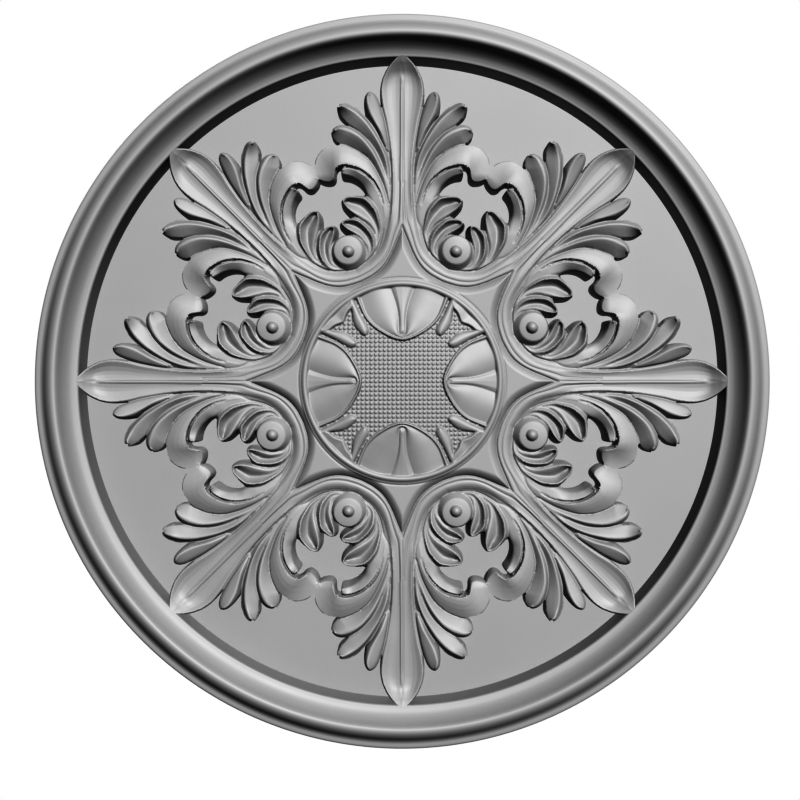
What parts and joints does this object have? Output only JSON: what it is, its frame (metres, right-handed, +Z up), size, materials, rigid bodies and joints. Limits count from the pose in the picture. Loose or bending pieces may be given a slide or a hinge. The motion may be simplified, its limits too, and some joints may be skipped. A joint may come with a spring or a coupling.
{
  "type": "ceiling rose",
  "caption": "Round plaster ceiling rose: moulded rim, sunk ground, radiating petals with scrolled leaves, and a raised medallion of shells and beads.",
  "frame": {"origin": "centre of the flat back, on the ceiling plane", "axes": "+Z up into the ceiling, the carved face looks down along -Z, +X and -X run along two opposite petals"},
  "size_m": [0.8, 0.8, 0.0698],
  "materials": {
    "plaster": "satin light grey cast plaster"
  },
  "bodies": {
    "root": {"ceiling_rose": "plaster"}
  },
  "joints": []
}
